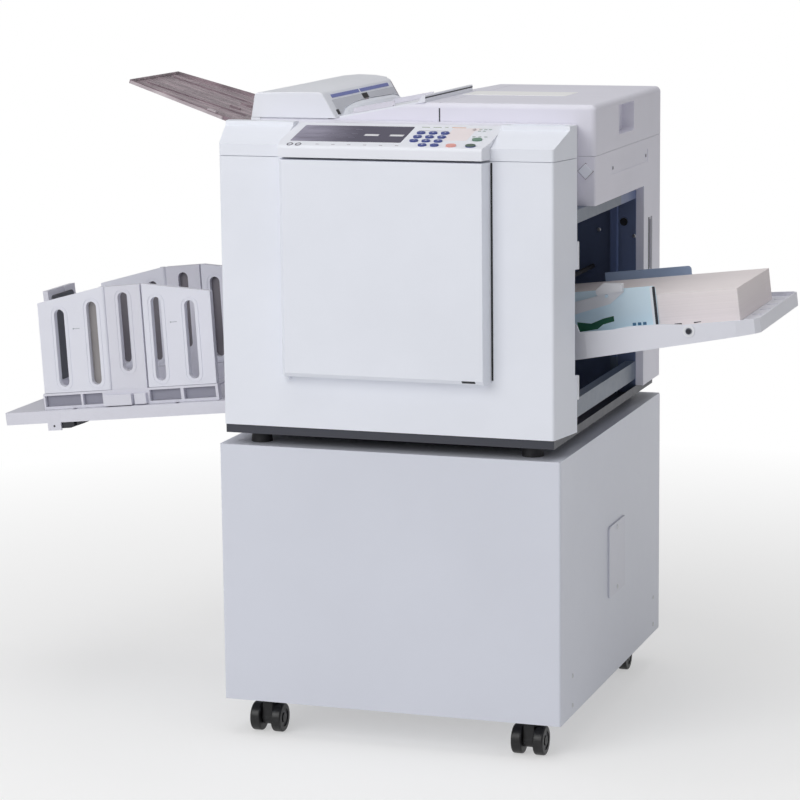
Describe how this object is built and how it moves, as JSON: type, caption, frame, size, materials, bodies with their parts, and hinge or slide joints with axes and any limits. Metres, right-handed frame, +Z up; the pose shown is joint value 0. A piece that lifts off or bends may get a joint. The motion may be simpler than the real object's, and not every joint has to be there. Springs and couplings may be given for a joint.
{
  "type": "digital duplicator",
  "caption": "Stencil drum duplicator on a caster cabinet, with a paper feed table, a delivery table with hinged side plates, a sloping operation panel and an original feeder.",
  "frame": {"origin": "on the floor under the middle of the stand cabinet", "axes": "+X to the right seen from the front (feed table side), -Y towards the operator, +Z up"},
  "size_m": [1.3811, 0.7143, 1.1162],
  "materials": {
    "cabinet_paint": "satin powder coat",
    "plate_grey": "satin paint",
    "bright_steel": "brushed",
    "caster_body": "moulded",
    "caster_tread": "matte",
    "foot_rubber": "matte",
    "pan_steel": "satin paint",
    "frame_navy": "satin paint",
    "rail_slate": "satin paint",
    "guide_steel": "brushed",
    "casing_white": "fine texture",
    "panel_white": "fine texture",
    "display_dark": "gloss",
    "cover_grey": "fine texture",
    "scan_glass": "clear",
    "pad_white": "soft",
    "feeder_grey": "fine texture",
    "smoke_purple": "translucent",
    "drum_metal": "satin",
    "roller_rubber": "matte",
    "flange_blue": "moulded",
    "tray_grey": "fine texture",
    "paper": "uncoated paper",
    "fence_blue": "moulded",
    "fence_slate": "moulded",
    "lever_white": "moulded",
    "button_grey": "moulded",
    "plate_panel": "fine texture",
    "plate_base": "fine texture",
    "latch_dark": "moulded",
    "key_blue": "satin",
    "key_green": "satin",
    "key_pink": "satin",
    "switch_black": "satin"
  },
  "bodies": {
    "chassis": {"cabinet_shell": "cabinet_paint", "cabinet_top": "cabinet_paint", "cabinet_floor": "cabinet_paint", "cabinet_rear_panel": "cabinet_paint", "cabinet_side_plate": "plate_grey", "cabinet_screws": "bright_steel", "machine_feet": "foot_rubber", "base_frame": "pan_steel", "side_frames": "frame_navy", "frame_rails": "rail_slate", "paper_guides": "guide_steel", "front_casing": "casing_white", "upper_casing": "casing_white", "operation_panel": "panel_white", "display_window": "display_dark", "middle_cover": "cover_grey", "left_cover": "cover_grey", "rear_cover": "cover_grey", "scanner_housing": "cover_grey", "exposure_glass": "scan_glass", "delivery_table": "plate_base", "drum_flange": "flange_blue"},
    "door": {"front_door": "casing_white"},
    "drum": {"drum": "drum_metal"},
    "press_roller": {"press_roller": "roller_rubber"},
    "feed_roller": {"feed_roller": "roller_rubber"},
    "power_switch": {"power_switch": "switch_black"},
    "lid": {"platen_cover": "cover_grey", "platen_pad": "pad_white", "adf_body": "feeder_grey", "original_table": "feeder_grey", "original_tray": "smoke_purple"},
    "feeder_cover": {"adf_cover": "feeder_grey"},
    "original_guide_front": {"original_guide_front": "fence_slate"},
    "original_guide_rear": {"original_guide_rear": "fence_slate"},
    "elevator": {"feed_table": "tray_grey", "paper_stack": "paper"},
    "fence_front": {"feed_fence_front": "fence_blue"},
    "fence_rear": {"feed_fence_rear": "fence_slate"},
    "fence_lever": {"fence_lock_lever": "lever_white"},
    "tray_down_button": {"tray_down_button": "button_grey"},
    "side_plate_front": {"side_plate_front": "plate_base"},
    "side_plate_rear": {"side_plate_rear": "plate_base"},
    "wing_front_left": {"wing_front_left": "plate_panel"},
    "wing_front_right": {"wing_front_right": "plate_panel"},
    "wing_rear_left": {"wing_rear_left": "plate_panel"},
    "wing_rear_right": {"wing_rear_right": "plate_panel"},
    "end_plate": {"end_plate": "plate_base"},
    "end_lever": {"end_lock_lever": "latch_dark"},
    "number_keys": {"number_keys": "key_blue"},
    "start_key": {"start_key": "key_green"},
    "stop_key": {"stop_key": "key_pink"},
    "caster_fork_front_left": {"caster_fork_front_left": "caster_body"},
    "caster_wheels_front_left": {"caster_wheels_front_left": "caster_tread"},
    "caster_fork_front_right": {"caster_fork_front_right": "caster_body"},
    "caster_wheels_front_right": {"caster_wheels_front_right": "caster_tread"},
    "caster_fork_rear_left": {"caster_fork_rear_left": "caster_body"},
    "caster_wheels_rear_left": {"caster_wheels_rear_left": "caster_tread"},
    "caster_fork_rear_right": {"caster_fork_rear_right": "caster_body"},
    "caster_wheels_rear_right": {"caster_wheels_rear_right": "caster_tread"}
  },
  "joints": [
    {"name": "door_hinge", "type": "hinge", "parent": "chassis", "child": "door", "pos_m": [-0.174, -0.342, 0.818], "axis": [0, 0, -1], "range_deg": [0, 90]},
    {"name": "drum_turn", "type": "hinge", "parent": "chassis", "child": "drum", "pos_m": [0, -0.0215, 0.8], "axis": [0, 1, 0], "continuous": true},
    {"name": "press_turn", "type": "hinge", "parent": "chassis", "child": "press_roller", "pos_m": [0, -0.0215, 0.6847], "axis": [0, 1, 0], "continuous": true},
    {"name": "feed_roller_turn", "type": "hinge", "parent": "chassis", "child": "feed_roller", "pos_m": [0.20689, -0.0215, 0.7606], "axis": [0, 1, 0], "continuous": true},
    {"name": "power_switch_rock", "type": "hinge", "parent": "chassis", "child": "power_switch", "pos_m": [-0.15, 0.3245, 0.606], "axis": [1, 0, 0], "range_deg": [-8, 8]},
    {"name": "lid_hinge", "type": "hinge", "parent": "chassis", "child": "lid", "pos_m": [0.01, 0.3388, 0.9985], "axis": [-1, 0, 0], "range_deg": [0, 65]},
    {"name": "feeder_cover_hinge", "type": "hinge", "parent": "lid", "child": "feeder_cover", "pos_m": [-0.336, 0.0905, 1.0645], "axis": [0, -1, 0], "range_deg": [0, 60]},
    {"name": "original_guide_front_slide", "type": "slide", "parent": "lid", "child": "original_guide_front", "axis": [0, -1, 0], "range_m": [-0.05, 0.0045]},
    {"name": "original_guide_rear_slide", "type": "slide", "parent": "lid", "child": "original_guide_rear", "axis": [0, 1, 0], "range_m": [-0.05, 0.0045]},
    {"name": "elevator_slide", "type": "slide", "parent": "chassis", "child": "elevator", "axis": [0, 0, 1], "range_m": [-0.06, 0]},
    {"name": "fence_front_slide", "type": "slide", "parent": "elevator", "child": "fence_front", "axis": [0, -1, 0], "range_m": [0, 0.02]},
    {"name": "fence_rear_slide", "type": "slide", "parent": "elevator", "child": "fence_rear", "axis": [0, 1, 0], "range_m": [0, 0.02]},
    {"name": "fence_lever_turn", "type": "hinge", "parent": "fence_front", "child": "fence_lever", "pos_m": [0.32958, -0.154, 0.7614], "axis": [0, -1, 0], "range_deg": [0, 12]},
    {"name": "tray_down_press", "type": "slide", "parent": "elevator", "child": "tray_down_button", "axis": [-0.0825, 0.9965, -0.0094], "range_m": [0, 0.0015], "stiffness_N_per_m": 300, "springref_m": -0.001},
    {"name": "side_plate_front_slide", "type": "slide", "parent": "chassis", "child": "side_plate_front", "axis": [0, -1, 0], "range_m": [-0.0545, 0.012]},
    {"name": "side_plate_rear_slide", "type": "slide", "parent": "chassis", "child": "side_plate_rear", "axis": [0, 1, 0], "range_m": [-0.0545, 0.012]},
    {"name": "wing_front_left_turn", "type": "hinge", "parent": "side_plate_front", "child": "wing_front_left", "pos_m": [-0.58795, -0.157, 0.63078], "axis": [0.0558, 0, -0.9984], "range_deg": [0, 8]},
    {"name": "wing_front_right_turn", "type": "hinge", "parent": "side_plate_front", "child": "wing_front_right", "pos_m": [-0.50639, -0.157, 0.63921], "axis": [-0.0558, 0, 0.9984], "range_deg": [0, 8]},
    {"name": "wing_rear_left_turn", "type": "hinge", "parent": "side_plate_rear", "child": "wing_rear_left", "pos_m": [-0.58795, 0.114, 0.63078], "axis": [-0.0558, 0, 0.9984], "range_deg": [0, 8]},
    {"name": "wing_rear_right_turn", "type": "hinge", "parent": "side_plate_rear", "child": "wing_rear_right", "pos_m": [-0.50639, 0.114, 0.63921], "axis": [0.0558, 0, -0.9984], "range_deg": [0, 8]},
    {"name": "end_plate_slide", "type": "slide", "parent": "chassis", "child": "end_plate", "axis": [0.9947, 0, 0.1028], "range_m": [-0.02, 0.18]},
    {"name": "end_lever_turn", "type": "hinge", "parent": "chassis", "child": "end_lever", "pos_m": [-0.68605, -0.1575, 0.49196], "axis": [0, 1, 0], "range_deg": [0, 25]},
    {"name": "number_keys_press", "type": "slide", "parent": "chassis", "child": "number_keys", "axis": [0, 0.2419, -0.9703], "range_m": [0, 0.0012], "stiffness_N_per_m": 400, "springref_m": -0.0008},
    {"name": "start_key_press", "type": "slide", "parent": "chassis", "child": "start_key", "axis": [0, 0.2419, -0.9703], "range_m": [0, 0.0012], "stiffness_N_per_m": 400, "springref_m": -0.0008},
    {"name": "stop_key_press", "type": "slide", "parent": "chassis", "child": "stop_key", "axis": [0, 0.2419, -0.9703], "range_m": [0, 0.0012], "stiffness_N_per_m": 400, "springref_m": -0.0008},
    {"name": "caster_swivel_front_left", "type": "hinge", "parent": "chassis", "child": "caster_fork_front_left", "pos_m": [-0.235, -0.278, 0.058], "axis": [0, 0, 1], "continuous": true},
    {"name": "caster_roll_front_left", "type": "hinge", "parent": "caster_fork_front_left", "child": "caster_wheels_front_left", "pos_m": [-0.235, -0.2945, 0.025], "axis": [1, 0, 0], "continuous": true},
    {"name": "caster_swivel_front_right", "type": "hinge", "parent": "chassis", "child": "caster_fork_front_right", "pos_m": [0.235, -0.278, 0.058], "axis": [0, 0, 1], "continuous": true},
    {"name": "caster_roll_front_right", "type": "hinge", "parent": "caster_fork_front_right", "child": "caster_wheels_front_right", "pos_m": [0.235, -0.2945, 0.025], "axis": [1, 0, 0], "continuous": true},
    {"name": "caster_swivel_rear_left", "type": "hinge", "parent": "chassis", "child": "caster_fork_rear_left", "pos_m": [-0.235, 0.278, 0.058], "axis": [0, 0, 1], "continuous": true},
    {"name": "caster_roll_rear_left", "type": "hinge", "parent": "caster_fork_rear_left", "child": "caster_wheels_rear_left", "pos_m": [-0.235, 0.2615, 0.025], "axis": [1, 0, 0], "continuous": true},
    {"name": "caster_swivel_rear_right", "type": "hinge", "parent": "chassis", "child": "caster_fork_rear_right", "pos_m": [0.235, 0.278, 0.058], "axis": [0, 0, 1], "continuous": true},
    {"name": "caster_roll_rear_right", "type": "hinge", "parent": "caster_fork_rear_right", "child": "caster_wheels_rear_right", "pos_m": [0.235, 0.2615, 0.025], "axis": [1, 0, 0], "continuous": true}
  ],
  "couplings": [
    {"joint": "press_turn", "follows": "drum_turn", "ratio": -3.6},
    {"joint": "fence_rear_slide", "follows": "fence_front_slide", "ratio": 1},
    {"joint": "original_guide_rear_slide", "follows": "original_guide_front_slide", "ratio": 1},
    {"joint": "side_plate_rear_slide", "follows": "side_plate_front_slide", "ratio": 1}
  ]
}
